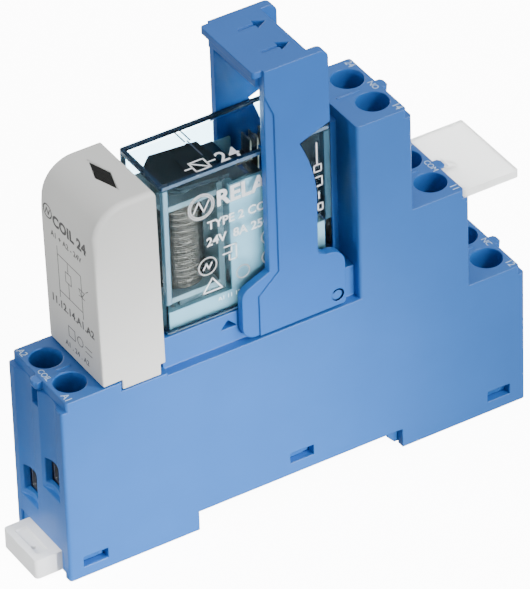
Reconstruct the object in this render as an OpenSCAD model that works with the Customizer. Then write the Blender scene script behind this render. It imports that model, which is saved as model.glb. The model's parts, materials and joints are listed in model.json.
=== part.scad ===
// Slim relay interface for a 35 mm top-hat rail.
// A stepped screw-terminal socket carries a plug-in relay, a plug-in indicator module,
// a pivoting retaining clip, a sliding rail catch and a slip-on marker tag.
// X runs from the coil terminals to the contact terminals, Y across the narrow width, Z up
// from the rail side. X values below are counted from the coil end face, and
// from_coil_end() moves them to the frame, whose origin is under the middle of the whole part.

/* [Socket] */
// Width of the socket
body_w = 15.5; // [15.4:0.1:16]
// Length of the socket, coil end face to lowest tier end face
body_l = 80.2; // [79.8:0.1:81]
// Height of the coil terminal block
coil_top = 32.8; // [32.6:0.1:33.4]
// Height of the two narrow ledges beside the relay seat
ledge_top = 30.8; // [30.6:0.1:31]
// Height of the relay seat
seat_top = 36.2; // [36:0.1:36.3]
// Height of the lowest contact tier
low_top = 25.4; // [25.2:0.1:26]
// Height of the middle contact tier
mid_top = 43.4; // [43.2:0.1:44]
// Height of the contact tower
tower_top = 61.9; // [61.6:0.1:62.5]
// Length of each contact tier
tier_pitch = 9.75; // [9.7:0.05:9.9]
// Corner radius of the upright edges
corner_r = 0.5; // [0.4:0.1:0.8]

/* [Rail] */
// Start of the rail recess
rail_start = 22.3; // [22:0.1:22.6]
// Length of the rail recess, for a 35 mm rail
rail_gap = 35.8; // [35.4:0.1:36]
// Depth of the rail recess
rail_depth = 3.4; // [3.2:0.1:3.5]
// Reach of the pull tab past the coil end face
tab_reach = 4.1; // [3:0.1:5]
// Travel of the rail catch
catch_travel = 2.5; // [2:0.1:2.5]

/* [Terminals] */
// Distance of each screw from its tier's end face
screw_inset = 4.05; // [4:0.05:4.1]
// Distance of each screw from the middle plane
screw_y = 3.45; // [3.4:0.05:3.5]
// Radius of each screwdriver hole
access_r = 2.55; // [2.4:0.05:2.6]
// Radius of each screw head
head_r = 2.2; // [2:0.05:2.2]
// Radius of each screw shank
shank_r = 1.5; // [1.4:0.05:1.5]
// Rise of each clamp cage from open to closed
cage_rise = 3.5; // [3:0.1:3.5]

/* [Relay] */
// Length of the relay cover
relay_l = 28.7; // [28.4:0.1:28.8]
// Width of the relay cover
relay_w = 12.1; // [12:0.05:12.2]
// Height of the relay cover
relay_h = 26.6; // [26:0.1:27]
// Wall of the relay cover
cover_wall = 0.9; // [0.8:0.05:1]
// Angle of the released armature
armature_tilt = 4.5; // [4:0.1:4.5]

/* [Indicator module] */
// Width of the indicator module
module_w = 15.4; // [15:0.1:15.4]
// Height of the indicator module's top
module_top = 64.2; // [63.5:0.1:65]

/* [Retaining clip] */
// Height of the clip's top plate
clip_top = 77.7; // [77:0.1:79]
// Radius of the clip's pivot pins
pivot_r = 1.0; // [0.8:0.05:1.1]

/* [Marker tag] */
// Reach of the tag past the middle tier's end face
tag_reach = 8.75; // [7:0.05:9]
// Thickness of the tag
tag_t = 1.3; // [1.1:0.05:1.3]

/* [Hidden] */
$fn = 48;
eps = 0.02;
gap = 0.1;                                 // slip gap between snapped or plugged pieces
half_w = body_w / 2;
setback = 0.9;                             // each tier's cap stands back from its end wall
shoulder = 1.6;                            // and its end wall stops below the cap's top
hook_reach = 1.4;
frame_x = (body_l - setback + hook_reach - tab_reach) / 2;

// Tiers
low_end = body_l;
mid_end = body_l - tier_pitch;
tower_end = body_l - 2 * tier_pitch;
tower_start = 51.2;
coil_block_end = 10.4;                     // the module's tongue starts here
coil_shelf = 31.2;
seat_start = 18.2;
seat_half_w = 6.1;

// Inside of the housing
cavity_half_w = 6.4;                       // bottom opening, closed by the bottom cover
cavity_top = 4.7;
hall_y = [0.6, 6.3];                       // one hall on each side of the middle wall
hall_top = 29;
end_wall = 1.45;
tower_shaft = [52.2, 53.5];
mid_shaft = [61.4, 63.3];

// Terminal heights, all counted from the floor of the wire entry
entry_lip = 0.9;
entry_h = 4.55;
entry_w = 4.1;
bar_z = 5.1;                               // underside of the current bar
bar_t = 0.8;
nut_z = 6.15;                              // underside of the cage's threaded top
nut_t = 1.2;
chamber_h = 11;
ledge_t = 0.4;                             // the screw head rests on this ledge
head_z = chamber_h + ledge_t + 0.05;
head_h = 1.6;
head_pocket_r = 2.85;                       // wider than the hole above, so the screw can't drop out
access_z = 13.5;
thread_gap = 0.05;
cage_half = [2.3, 2.7];
cage_side = 0.6;
scoop_r = 4.3;
scoop_depth = 0.85;

// Each terminal: name, screw x, side, entry floor, tier top, way out of the wire, blade x
coil_x = screw_inset;
TERMINALS = [
    ["a1", coil_x, -1, 13.7, coil_top, -1, 21.5],
    ["a2", coil_x, 1, 7.9, coil_top, -1, 21.5],
    ["14", tower_end - screw_inset, -1, 44.5, tower_top, 1, 45],
    ["24", tower_end - screw_inset, 1, 44.5, tower_top, 1, 45],
    ["11", mid_end - screw_inset, -1, 26.3, mid_top, 1, 40],
    ["21", mid_end - screw_inset, 1, 26.3, mid_top, 1, 40],
    ["12", low_end - screw_inset, -1, 7.9, low_top, 1, 35],
    ["22", low_end - screw_inset, 1, 7.9, low_top, 1, 35],
];
blade_y = 3.75;
module_blade_x = 14;
module_blade_t = 0.4;
relay_blade_t = 0.5;

// Snap windows in each side wall: start, length, bottom, height
WINDOWS = [
    [2.4, 4.2, 1.8, 1.8],
    [38.3, 4.1, 5.5, 1.8],
    [73.4, 4.0, 1.95, 1.85],
];

// Relay
relay_x = 19.2;
relay_z = seat_top + gap;
relay_end = relay_x + relay_l;
relay_half_w = relay_w / 2;
relay_in_y = relay_half_w - cover_wall - gap;
relay_in_x = [relay_x + cover_wall + gap, relay_end - cover_wall - gap];
coil_centre = 24.7;
winding_r = 4.0;
core_r = 1.9;
bobbin_z = [40.9, 58.2];
flange_t = 1.0;
yoke_x = [29.2, 30.2];
yoke_z = [39.7, 59.0];
armature_pivot = [29.9, 59.6];
pivot_rod_r = 0.4;
barrier_x = [32.0, 34.2];
side_wall_x = [30.9, 37.2];
card_z = [53.1, 53.9];
contact_z = 57.6;
spring_pivot = [40, 41];
button_r = 0.9;

// Clip
leg_y = [6.25, half_w];
pivot = [47.3, 33.3];
plate_x = [34.3, 43.9];
plate_t = 1.6;

// ---------- shared shapes ----------

module from_coil_end() {
    translate([-frame_x, 0, 0]) children();
}

// Box between two x, two y and two z values
module box(x, y, z) {
    translate([x[0], y[0], z[0]]) cube([x[1] - x[0], y[1] - y[0], z[1] - z[0]]);
}

module both_sides() {
    children();
    mirror([0, 1, 0]) children();
}

// Upright column with rounded corners
module column(x, half, z, r = corner_r) {
    translate([0, 0, z[0]])
        linear_extrude(z[1] - z[0])
            rounded_plan(x, half, r);
}

module rounded_plan(x, half, r) {
    translate([x[0] + r, -half]) square([x[1] - x[0] - 2 * r, 2 * half]);
    translate([x[0], -half + r]) square([x[1] - x[0], 2 * half - 2 * r]);
    for (cx = [x[0] + r, x[1] - r], cy = [-half + r, half - r])
        translate([cx, cy]) circle(r);
}

// Side-view outline, given as x and z points, extruded between two y values
module side_profile(y) {
    translate([0, y[1], 0]) rotate([90, 0, 0]) linear_extrude(y[1] - y[0]) children();
}

// Upright rod
module rod(x, y, z, r) {
    translate([x, y, z[0]]) cylinder(r = r, h = z[1] - z[0]);
}

// Rod along Y
module cross_rod(x, z, y, r) {
    translate([x, y[0], z]) rotate([-90, 0, 0]) cylinder(r = r, h = y[1] - y[0]);
}

function quarter(cx, cz, r, a0, a1, steps = 6) =
    [for (i = [0:steps]) let (a = a0 + (a1 - a0) * i / steps) [cx + r * cos(a), cz + r * sin(a)]];

// ---------- socket housing ----------

module socket_housing() {
    color("#4a7fc4") from_coil_end() difference() {
        union() {
            housing_columns();
            tag_hooks();
            both_sides() cross_rod(pivot[0], pivot[1], [seat_half_w - 1, half_w - 0.15], pivot_r);
        }
        rail_side_cuts();
        both_sides() wiring_hall();
        for (t = TERMINALS) terminal_cuts(t);
        blade_slots();
        for (w = WINDOWS)
            both_sides() box([w[0], w[0] + w[1]], [hall_y[1] - eps, half_w + 1], [w[2], w[2] + w[3]]);
        tag_pockets();
        both_sides() seat_arrow();
    }
}

module housing_columns() {
    column([0, low_end], half_w, [0, low_top - shoulder]);
    column([tower_start, low_end - setback], half_w, [0, low_top]);
    column([0, mid_end], half_w, [0, ledge_top]);
    column([tower_start, mid_end], half_w, [0, mid_top - shoulder]);
    column([tower_start, mid_end - setback], half_w, [0, mid_top]);
    column([tower_start, tower_end], half_w, [0, tower_top - shoulder]);
    column([tower_start, tower_end - setback], half_w, [0, tower_top]);
    column([0, seat_start], half_w, [0, coil_shelf]);
    column([setback, coil_block_end], half_w, [0, coil_top]);
    box([seat_start, tower_start + 1], [-seat_half_w, seat_half_w], [0, seat_top]);
    box([tower_start - 1, tower_start + 1], [-2, 2], [seat_top - 1, tower_top - 2]);
    divider_ribs();
}

// Low rib between the two screwdriver holes of each tier
module divider_ribs() {
    rib = [-0.12, 0.12];
    rise = 0.15;
    for (t = [for (i = [0:2:len(TERMINALS) - 1]) TERMINALS[i]])
        box(t[5] < 0 ? [t[1] - 0.2, t[1] + 2.1] : [t[1] - 4, t[1]], rib, [t[4] - 1, t[4] + rise]);
}

// Small tongue in the middle of each tier's end, which holds a marker tag
module tag_hooks() {
    side_profile([-0.95, 0.95]) {
        for (t = [[tower_end, tower_top], [mid_end, mid_top], [low_end, low_top]])
            hook_outline(t[0] - setback, t[1], 1);
        hook_outline(setback, coil_top, -1);
    }
}

module hook_outline(x, top, way) {
    polygon([
        [x - way, top], [x + way * 1.2, top - 0.15], [x + way * hook_reach, top - 0.5],
        [x + way * 1.1, top - 1.3], [x - way, top - 1.3],
    ]);
}

module tag_pockets() {
    depth = 1.2;
    for (t = [[tower_end, tower_top, 1], [mid_end, mid_top, 1], [low_end, low_top, 1],
              [0, coil_top, -1]])
        box(t[2] > 0 ? [t[0] - depth, t[0] + 1] : [t[0] - 1, t[0] + depth],
            [-0.8, 0.8], [t[1] - 4.6, t[1] - 1.3]);
}

module rail_side_cuts() {
    box([rail_start, rail_start + rail_gap], [-half_w - 1, half_w + 1], [-1, rail_depth]);
    box([end_wall, low_end - end_wall], [-cavity_half_w, cavity_half_w], [-1, cavity_top]);
    box([-1, end_wall + eps], [-cavity_half_w, cavity_half_w], [-1, cavity_top - 0.15]);
}

// Room for the contact strips on one side of the middle wall
module wiring_hall() {
    low = [8, low_end - screw_inset - 2.5];
    side_profile(hall_y) polygon([
        [low[0], cavity_top - eps], [low[1], cavity_top - eps], [low[1], 19],
        [mid_shaft[1], 19], [mid_shaft[1], 33], [mid_shaft[0], 33], [mid_shaft[0], hall_top],
        [low[0], hall_top],
    ]);
    box(tower_shaft, hall_y, [hall_top - eps, 51]);
}

// Chamber, screwdriver hole, wire entry and its guide for one terminal
module terminal_cuts(t) {
    x = t[1];
    y = t[2] * screw_y;
    z = t[3];
    way = t[5];
    end = x + way * screw_inset;
    inner = way < 0 ? 4.1 : 3.3;
    side = t[2] < 0 ? [-hall_y[1], -hall_y[0]] : hall_y;
    box(span(x - way * 2.7, x + way * 2.6), side, [z - 0.2, z + chamber_h]);
    box(span(x - way * inner, x), side, [z + bar_z - 0.5, z + bar_z + bar_t + 0.5]);
    rod(x, y, [z + chamber_h - eps, z + chamber_h + ledge_t + eps], shank_r + 0.15);
    rod(x, y, [z + chamber_h + ledge_t, z + access_z], head_pocket_r);
    rod(x, y, [z + access_z - eps, t[4] + 1], access_r);
    box(span(x, end + way), [y - entry_w / 2, y + entry_w / 2],
        [z + entry_lip, z + entry_lip + entry_h]);
    rod(end + way * (scoop_r - scoop_depth), y, [z, t[4] + 1], scoop_r);
}

function span(a, b) = [min(a, b), max(a, b)];

// Slots through the relay seat and the coil shelf for the plugged-in blades
module blade_slots() {
    for (x = [for (i = [0, 2, 4, 6]) TERMINALS[i][6]], s = [-1, 1])
        blade_slot(x, s * blade_y, seat_top);
    for (s = [-1, 1]) blade_slot(module_blade_x, s * blade_y, coil_shelf);
}

module blade_slot(x, y, top) {
    box([x - 1.1, x + 1.1], [y - 1.5, y + 1.5], [hall_top - eps, top - 0.8]);
    box([x - 0.6, x + 0.6], [y - 0.95, y + 0.95], [hall_top, top + 1]);
}

// Arrow mark pressed into each side of the seat
module seat_arrow() {
    side_profile([seat_half_w - 1.5, seat_half_w + 1])
        polygon([[28.1, 33.6], [30.9, 33.6], [29.4, 35.1]]);
}

// ---------- bottom cover, rail catch, marker tag ----------

rail_end = rail_start + rail_gap;
cover_half_w = cavity_half_w - gap;
foot_z = 0.3;
catch_half_w = 4.8;
catch_z = [0.3, 3.75];
channel_half_w = catch_half_w + 0.15;
post_x = [9, 10.5];

module socket_cover() {
    color("#4678bc") from_coil_end() difference() {
        union() {
            box([0.35, rail_start - gap], [-cover_half_w, cover_half_w], [foot_z, 4.55]);
            box([rail_start - 1, low_end - end_wall - gap], [-cover_half_w, cover_half_w],
                [rail_depth, 4.6]);
            box([rail_end + gap, low_end - end_wall - gap], [-cover_half_w, cover_half_w],
                [foot_z, 4.6]);
            side_profile([-cover_half_w, cover_half_w]) fixed_hook();
            for (w = WINDOWS) both_sides() snap_tab(w);
            both_sides() box([38.1, 42.6], [5.2, 6.2], [4.5, 7.4]);
        }
        box([-1, rail_start + 1], [-channel_half_w, channel_half_w], [-1, 3.9]);
        both_sides() box([1.6, rail_start + 1], [channel_half_w - eps, channel_half_w + 0.55],
                         [1.4, 2.5]);
        both_sides() box([rail_end + 1.5, low_end - 3], [0.6, cover_half_w - 1.2], [-1, 3.2]);
    }
    color("#4678bc") from_coil_end() box(post_x, [-2, 2], [1, 4.2]);
}

// Lip that goes under the far edge of the rail
module fixed_hook() {
    polygon([
        [rail_end + 1, foot_z], [rail_end + 1, 2.2], [rail_end - 1.8, 2.2],
        [rail_end - 1.8, 1.6], [rail_end - 0.6, foot_z],
    ]);
}

module snap_tab(w) {
    x = [w[0] + gap, w[0] + w[1] - 1.2];
    z = [w[2] + gap, w[2] + w[3] - gap];
    translate([x[0], 0, 0]) rotate([90, 0, 90]) linear_extrude(x[1] - x[0])
        polygon([[6, z[0]], [6.5, z[0]], [7.2, z[1] - 0.2], [7.2, z[1]], [6, z[1]]]);
}

module rail_catch() {
    nose = rail_start + 2.1;
    color("#eef0f0") from_coil_end() difference() {
        union() {
            column([-tab_reach, 3], catch_half_w, catch_z, 0.6);
            box([1, rail_start - 0.4], [-catch_half_w, catch_half_w], catch_z);
            side_profile([-catch_half_w, catch_half_w]) polygon([
                [rail_start - 1, catch_z[0]], [rail_start + 0.7, catch_z[0]], [nose, 1.7],
                [nose, 2.2], [rail_start - 1, 2.2],
            ]);
            both_sides() box([1.6 + catch_travel + 0.2, rail_start - 0.4],
                             [catch_half_w - 1, catch_half_w + 0.45], [1.6, 2.3]);
        }
        box([post_x[0] - 0.2, post_x[1] + catch_travel + 0.2], [-2.2, 2.2], [-1, 5]);
        for (s = [-1, 1]) box([post_x[0] - 0.2, 19], [s * 3.3 - 0.35, s * 3.3 + 0.35], [-1, 5]);
        rod(-2.3, -1.2, [-1, 5], 0.35);
        box([-tab_reach + 1.2, -1.0], [-3.2, 3.2], [3.3, 5]);
    }
}

module marker_tag() {
    x = [mid_end - setback + gap, mid_end + tag_reach];
    z = [mid_top - shoulder + 0.05, mid_top - shoulder + 0.05 + tag_t];
    color("#f4f5f5") from_coil_end() difference() {
        column(x, half_w, z, 0.35);
        box([x[0] - 1, mid_end - setback + hook_reach + 0.2], [-1.15, 1.15], [z[0] - 1, z[1] + 1]);
    }
    // tongue that enters the pocket below the hook
    color("#f4f5f5") from_coil_end()
        box([mid_end - 0.9, mid_end + 2.4], [-0.65, 0.65], [z[0] - 0.9, z[0] + 0.05]);
}

// ---------- terminals ----------

module terminal_screw(t) {
    x = t[1];
    y = t[2] * screw_y;
    z = t[3];
    tip = z + bar_z + bar_t + eps;
    top = z + head_z + head_h;
    slot_d = 1.0;
    color("#c9ccd0") from_coil_end() difference() {
        union() {
            rod(x, y, [z + head_z, top], head_r);
            rod(x, y, [tip, z + head_z + eps], shank_r);
        }
        box([x - 0.4, x + 0.4], [y - head_r - 1, y + head_r + 1], [top - slot_d, top + 1]);
        box([x - 1.3, x + 1.3], [y - 0.35, y + 0.35], [top - slot_d - 0.3, top + 1]);
    }
}

// Box that the screw draws up, so that its floor lifts the wire against the bar
module clamp_cage(t) {
    x = t[1];
    y = t[2] * screw_y;
    z = t[3];
    inner = cage_half[1] - cage_side;
    color("#d4d6d8") from_coil_end() difference() {
        box([x - cage_half[0], x + cage_half[0]], [y - cage_half[1], y + cage_half[1]],
            [z, z + nut_z + nut_t]);
        box([x - cage_half[0] - 1, x + cage_half[0] + 1], [y - inner, y + inner],
            [z + entry_lip, z + nut_z]);
        rod(x, y, [z + nut_z - 1, z + nut_z + nut_t + 1], shank_r + thread_gap);
    }
}

// Current bar in the cage, and the conductor from it to its sprung sockets
module contact_strip(t) {
    x = t[1];
    z = t[3] + bar_z;
    way = t[5];
    y = t[2] > 0 ? [1.95, 4.95] : [-4.95, -1.95];
    blade = t[6];
    run_z = t[4] == tower_top ? 27 : t[4] == mid_top ? 20 : z;
    riser = t[4] == tower_top ? tower_shaft[0] + 0.2 : mid_shaft[0] + 0.6;
    color("#d9b25a") from_coil_end() {
        if (run_z == z) {
            box(span(x + way * 2.2, blade + way * -1), y, [z, z + bar_t]);
        } else {
            box([riser, x + 2.2], y, [z, z + bar_t]);
            box([riser, riser + bar_t], y, [run_z, z + eps]);
            box([blade - 1, riser + eps], y, [run_z, run_z + bar_t]);
        }
        sprung_socket(blade, t[2] * blade_y, [run_z + bar_t - eps, seat_top - 1.1], relay_blade_t);
        if (way < 0)
            sprung_socket(module_blade_x, t[2] * blade_y, [z + bar_t - eps, coil_shelf - 1.0],
                          module_blade_t);
    }
}

// Two leaves that grip a blade between them
module sprung_socket(x, y, z, blade_t) {
    leaf_t = 0.35;
    inside = blade_t / 2 + 0.05;
    for (s = [-1, 1])
        box(span(x + s * inside, x + s * (inside + leaf_t)), [y - 0.9, y + 0.9], z);
}

// ---------- retaining clip ----------

module retaining_clip() {
    color("#4c82c8") from_coil_end() difference() {
        union() {
            both_sides() side_profile(leg_y) clip_leg_outline();
            clip_plate();
        }
        both_sides() cross_rod(pivot[0], pivot[1], [leg_y[0] - 1, leg_y[1] + 1], pivot_r + 0.05);
        both_sides() side_profile([half_w - 0.25, half_w + 1]) clip_rim_outline();
        for (s = [-1, 1]) press_arrow(s * 3.25);
    }
}

module clip_leg_outline() {
    notch = [41.5, 62.9];
    waist = [44.2, 52.9];
    bend = [44.0, 57.5];
    polygon(concat(
        [[35.9, 42.0], [35.9, clip_top]],
        quarter(45.2, clip_top - 1.5, 1.5, 90, 0),
        [[46.7, 64.9]],
        [for (i = [0:6]) let (u = i / 6) (1 - u) * (1 - u) * notch + 2 * u * (1 - u) * bend + u * u * waist],
        [[44.1, 42.2]],
        quarter(46.1, 38.8, 2.6, 100, 0),
        quarter(48.2, 31.9, 0.5, 0, -90),
        quarter(33.3, 33.5, 2.2, 270, 180),
        quarter(33.1, 38.6, 2.0, 180, 110)
    ));
}

// Thin border along the leading edge of each leg
module clip_rim_outline() {
    polygon([
        [35, 75.5], [37.4, 69.6], [37.4, 41.7], [33.9, 38.4], [33.9, 30], [30, 30], [30, 42],
        [35, 43],
    ]);
}

module clip_plate() {
    inside = [-leg_y[0] - eps, leg_y[0] + eps];
    lip_t = 1.1;
    drop = 3.3;
    box([35.9, plate_x[1]], inside, [clip_top - plate_t, clip_top]);
    column([plate_x[0], plate_x[0] + 3], leg_y[0] + 1.0, [clip_top - lip_t, clip_top], 0.5);
    box([35.3, 36.3], inside, [clip_top - drop, clip_top - lip_t]);
}

module press_arrow(y) {
    translate([41.7, y, clip_top - 3]) cylinder(r = 1.25, h = 5, $fn = 3);
    box([38.3, 41.7], [y - 0.3, y + 0.3], [clip_top - 0.3, clip_top + 1]);
}

// ---------- indicator module ----------

case_wall = 1.2;
case_half_w = module_w / 2;

// Side outline of the case, moved inwards by an inset
module case_outline(inset) {
    top = module_top - inset;
    crown = 5.6 - inset;
    polygon(concat(
        [[7.2 + inset, 33.1], [6.8 + inset, module_top - 5.6]],
        quarter(6.8 + inset + crown, top - crown, crown, 180, 90, 10),
        [[17.4 - inset, top], [17.8 - inset, 33.2], [17.0 - inset, 33.2], [17.0 - inset, 31.35],
         [10.5 + inset, 31.35], [10.5 + inset, 33.1]]
    ));
}

module module_case() {
    color("#c9c8c2") from_coil_end() difference() {
        side_profile([-case_half_w, case_half_w]) case_outline(0);
        side_profile([-case_half_w + case_wall, case_half_w - case_wall]) case_outline(case_wall);
        box([11.7, 15.8], [-case_half_w + case_wall, case_half_w - case_wall], [30, 35]);
        lens_prism(0.1, [module_top - 3, module_top + 1]);
    }
}

// Long diamond of the indicator window
module lens_prism(grow, z) {
    half = [1.2 + grow, 3.9 + grow];
    translate([13.2, 0, z[0]]) linear_extrude(z[1] - z[0])
        polygon([[-half[0], 0], [0, -half[1]], [half[0], 0], [0, half[1]]]);
}

module module_window() {
    color("#3a4038") from_coil_end() lens_prism(0, [module_top - 2.2, module_top - 0.15]);
}

module module_base() {
    color("#b9b8b2") from_coil_end() union() {
        box([11.8, 15.7], [-case_half_w + case_wall + gap, case_half_w - case_wall - gap], [31.4, 35]);
        box([8.6, 16.3], [-5.6, 5.6], [34.5, 35.6]);
    }
}

module module_pins() {
    color("#c8cacc") from_coil_end() for (s = [-1, 1])
        box([module_blade_x - module_blade_t / 2, module_blade_x + module_blade_t / 2],
            [s * blade_y - 0.8, s * blade_y + 0.8], [27.2, 31.4 - eps]);
}

module module_board() {
    color("#2f6b45") from_coil_end() box([12.9, 13.9], [-5.8, 5.8], [35.6 + eps, 58.5]);
}

module module_led() {
    color("#c7efc0") from_coil_end() {
        rod(13.2, 0, [58.6, 60.4], 1.5);
        translate([13.2, 0, 60.4]) intersection() {
            sphere(1.5);
            translate([-2, -2, -eps]) cube([4, 4, 2]);
        }
    }
}

module module_diode() {
    color("#2b2b2d") from_coil_end() cross_rod(11.5, 44, [-2.4, 2.4], 1.3);
}

module module_resistor() {
    color("#9fc4cf") from_coil_end() cross_rod(11.6, 50, [-2.6, 2.6], 1.1);
}

// ---------- relay ----------

module relay_cover() {
    z = [relay_z, relay_z + relay_h];
    color("#8fb4d8", 0.45) from_coil_end() difference() {
        column([relay_x, relay_end], relay_half_w, z, 0.7);
        box([relay_x + cover_wall, relay_end - cover_wall],
            [-relay_half_w + cover_wall, relay_half_w - cover_wall], [z[0] - 1, z[1] - cover_wall]);
    }
}

module relay_base() {
    y = [-relay_in_y, relay_in_y];
    barrier_top = 58.3;
    color("#dcebee") from_coil_end() difference() {
        union() {
            box(relay_in_x, y, [relay_z, 38.4]);
            box([relay_in_x[0], 31.2], y, [relay_z, yoke_z[0] - 0.05]);
            box(barrier_x, y, [relay_z, barrier_top]);
            box([45.6, relay_in_x[1]], y, [relay_z, 45.5]);
            box([barrier_x[1] - 0.1, relay_in_x[1]], [-0.8, 0.8], [38, 51.5]);
            both_sides() box(side_wall_x, [4.55, relay_in_y], [38, barrier_top]);
        }
        box([barrier_x[0] - 1, barrier_x[1] + 1], [-1.6, 1.6], [card_z[0] - 0.3, card_z[1] + 0.3]);
        for (s = [-1, 1]) {
            for (x = [35, 40, 45]) blade_hole(x, s * blade_y);
            blade_hole(21.5, s * blade_y);
        }
    }
}

module blade_hole(x, y) {
    box([x - 0.28, x + 0.28], [y - 0.55, y + 0.55], [relay_z - 1, 41]);
}

module coil_bobbin() {
    half = [4.3, 4.8];
    color("#cfd8d6") from_coil_end() difference() {
        union() {
            for (z = [bobbin_z[0], bobbin_z[1] - flange_t])
                box([coil_centre - half[0], coil_centre + half[0]], [-half[1], half[1]],
                    [z, z + flange_t]);
            rod(coil_centre, 0, bobbin_z, core_r + 0.8);
        }
        rod(coil_centre, 0, [bobbin_z[0] - 1, bobbin_z[1] + 1], core_r + 0.05);
    }
}

module coil_winding() {
    z = [bobbin_z[0] + flange_t + 0.05, bobbin_z[1] - flange_t - 0.05];
    color("#a9784f") from_coil_end() difference() {
        rod(coil_centre, 0, z, winding_r);
        rod(coil_centre, 0, [z[0] - 1, z[1] + 1], core_r + 0.85);
    }
}

module coil_core() {
    color("#a8acb0") from_coil_end() {
        rod(coil_centre, 0, [40.75, 58.4], core_r);
        rod(coil_centre, 0, [58.25, 58.95], 3.1);
    }
}

module coil_pins() {
    color("#c8cacc") from_coil_end() for (s = [-1, 1])
        box([21.5 - relay_blade_t / 2, 21.5 + relay_blade_t / 2],
            [s * blade_y - 0.5, s * blade_y + 0.5], [32.6, 39.6]);
}

module yoke() {
    y = [-4.4, 4.4];
    color("#b4b8bc") from_coil_end() {
        box(yoke_x, y, yoke_z);
        box([22.4, yoke_x[1]], y, [yoke_z[0], 40.7]);
    }
}

module tilted_armature() {
    translate([armature_pivot[0], 0, armature_pivot[1]])
        rotate([0, armature_tilt, 0])
            translate([-armature_pivot[0], 0, -armature_pivot[1]]) children();
}

module armature() {
    px = armature_pivot[0];
    color("#4c5652") from_coil_end() tilted_armature() {
        translate([0, 0, 59.35]) linear_extrude(0.7)
            polygon([
                [20.9, -2.2], [23.2, -4.5], [px + 1.5, -4.5], [px + 1.5, 4.5], [23.2, 4.5], [20.9, 2.2],
            ]);
        box([px + 1.0, px + 1.5], [-2.2, 2.2], [card_z[0] - 0.3, 59.6]);
        cross_rod(px, armature_pivot[1], [-4.8, 4.8], pivot_rod_r);
    }
}

module armature_spring() {
    px = armature_pivot[0];
    color("#d8d2a8") from_coil_end() tilted_armature() {
        box([px - 4, px + 1.7], [-1.6, 1.6], [60.07, 60.22]);
        box([px + 1.55, px + 1.7], [-1.6, 1.6], [57.4, 60.1]);
    }
}

// Card that carries the armature's stroke to both moving springs
module actuator_card() {
    color("#e8e4d8") from_coil_end() {
        box([armature_pivot[0] + 1.1, 38.8], [-1.3, 1.3], card_z);
        box([38.7, 39.8], [-4.2, 4.2], card_z);
    }
}

module contact_button(x, y) {
    translate([x[0], y, contact_z]) rotate([0, 90, 0]) cylinder(r = button_r, h = x[1] - x[0]);
}

module moving_spring(side) {
    y = side * 2.9;
    blade = [spring_pivot[0] - 0.1, spring_pivot[0] + 0.1];
    color("#d8b46a") from_coil_end() {
        box(blade, [y - 1.2, y + 1.2], [spring_pivot[1] + 0.6, contact_z + 1.2]);
        cross_rod(spring_pivot[0], spring_pivot[1], [y - 1.2, y + 1.2], 0.7);
        contact_button([blade[0] - 0.45, blade[1] + 0.45], y);
    }
}

// Blades of the fixed contacts: up from the base, across, and up to the contact button
module fixed_contact(x, near, side) {
    y = [side * 2.9 - 1.2, side * 2.9 + 1.2];
    step_z = contact_z - 1.9;
    t = 0.15;
    way = near > x ? 1 : -1;
    box([x - t, x + t], y, [38.6, step_z + t]);
    box(span(x - way * t, near + way * t), y, [step_z - t, step_z + t]);
    box([near - t, near + t], y, [step_z - t, contact_z + 1.2]);
    contact_button(span(near, near + way * 0.5), side * 2.9);
    box([x - relay_blade_t / 2, x + relay_blade_t / 2],
        [side * blade_y - 0.5, side * blade_y + 0.5], [32.6, 38.7]);
}

module break_contacts() {
    color("#d8b46a") from_coil_end() for (s = [-1, 1]) fixed_contact(35, 38.85, s);
}

module make_contacts() {
    color("#d8b46a") from_coil_end() {
        for (s = [-1, 1]) fixed_contact(45, 41.75, s);
        for (s = [-1, 1])
            box([40 - relay_blade_t / 2, 40 + relay_blade_t / 2],
                [s * blade_y - 0.5, s * blade_y + 0.5], [32.6, 40]);
    }
}

// ---------- placement ----------

socket_housing();
socket_cover();
rail_catch();
retaining_clip();
marker_tag();
for (t = TERMINALS) {
    terminal_screw(t);
    clamp_cage(t);
    contact_strip(t);
}
module_case();
module_base();
module_pins();
module_board();
module_led();
module_diode();
module_resistor();
module_window();
relay_cover();
relay_base();
coil_bobbin();
coil_winding();
coil_core();
coil_pins();
yoke();
armature();
armature_spring();
actuator_card();
moving_spring(-1);  // moving_spring_front
moving_spring(1);  // moving_spring_rear
break_contacts();
make_contacts();
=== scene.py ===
"""Looks of a slim relay interface: stepped socket, clear relay, indicator module, clip, catch and tag.

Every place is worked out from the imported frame. Lengths in this script are millimetres, counted
from the coil end face (x), the middle plane (y) and the feet (z); at() turns them into metres.
"""

import json
import math

import bmesh
import bpy
from mathutils import Matrix, Vector


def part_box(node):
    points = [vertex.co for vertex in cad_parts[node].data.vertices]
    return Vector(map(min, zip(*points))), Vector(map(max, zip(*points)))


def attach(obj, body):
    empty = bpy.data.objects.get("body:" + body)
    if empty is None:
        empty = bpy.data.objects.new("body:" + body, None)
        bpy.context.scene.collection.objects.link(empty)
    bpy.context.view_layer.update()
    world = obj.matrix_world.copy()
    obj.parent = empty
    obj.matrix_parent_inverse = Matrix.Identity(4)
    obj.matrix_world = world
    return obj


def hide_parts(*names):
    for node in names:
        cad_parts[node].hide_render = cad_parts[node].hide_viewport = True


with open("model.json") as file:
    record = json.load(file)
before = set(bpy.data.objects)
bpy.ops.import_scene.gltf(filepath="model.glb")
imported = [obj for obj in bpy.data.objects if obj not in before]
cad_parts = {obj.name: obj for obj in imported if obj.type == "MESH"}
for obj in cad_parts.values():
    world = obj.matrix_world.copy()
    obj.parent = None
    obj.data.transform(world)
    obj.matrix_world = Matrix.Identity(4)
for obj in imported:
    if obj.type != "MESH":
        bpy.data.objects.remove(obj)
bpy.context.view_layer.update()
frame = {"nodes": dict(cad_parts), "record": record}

MM = 0.001
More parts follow.
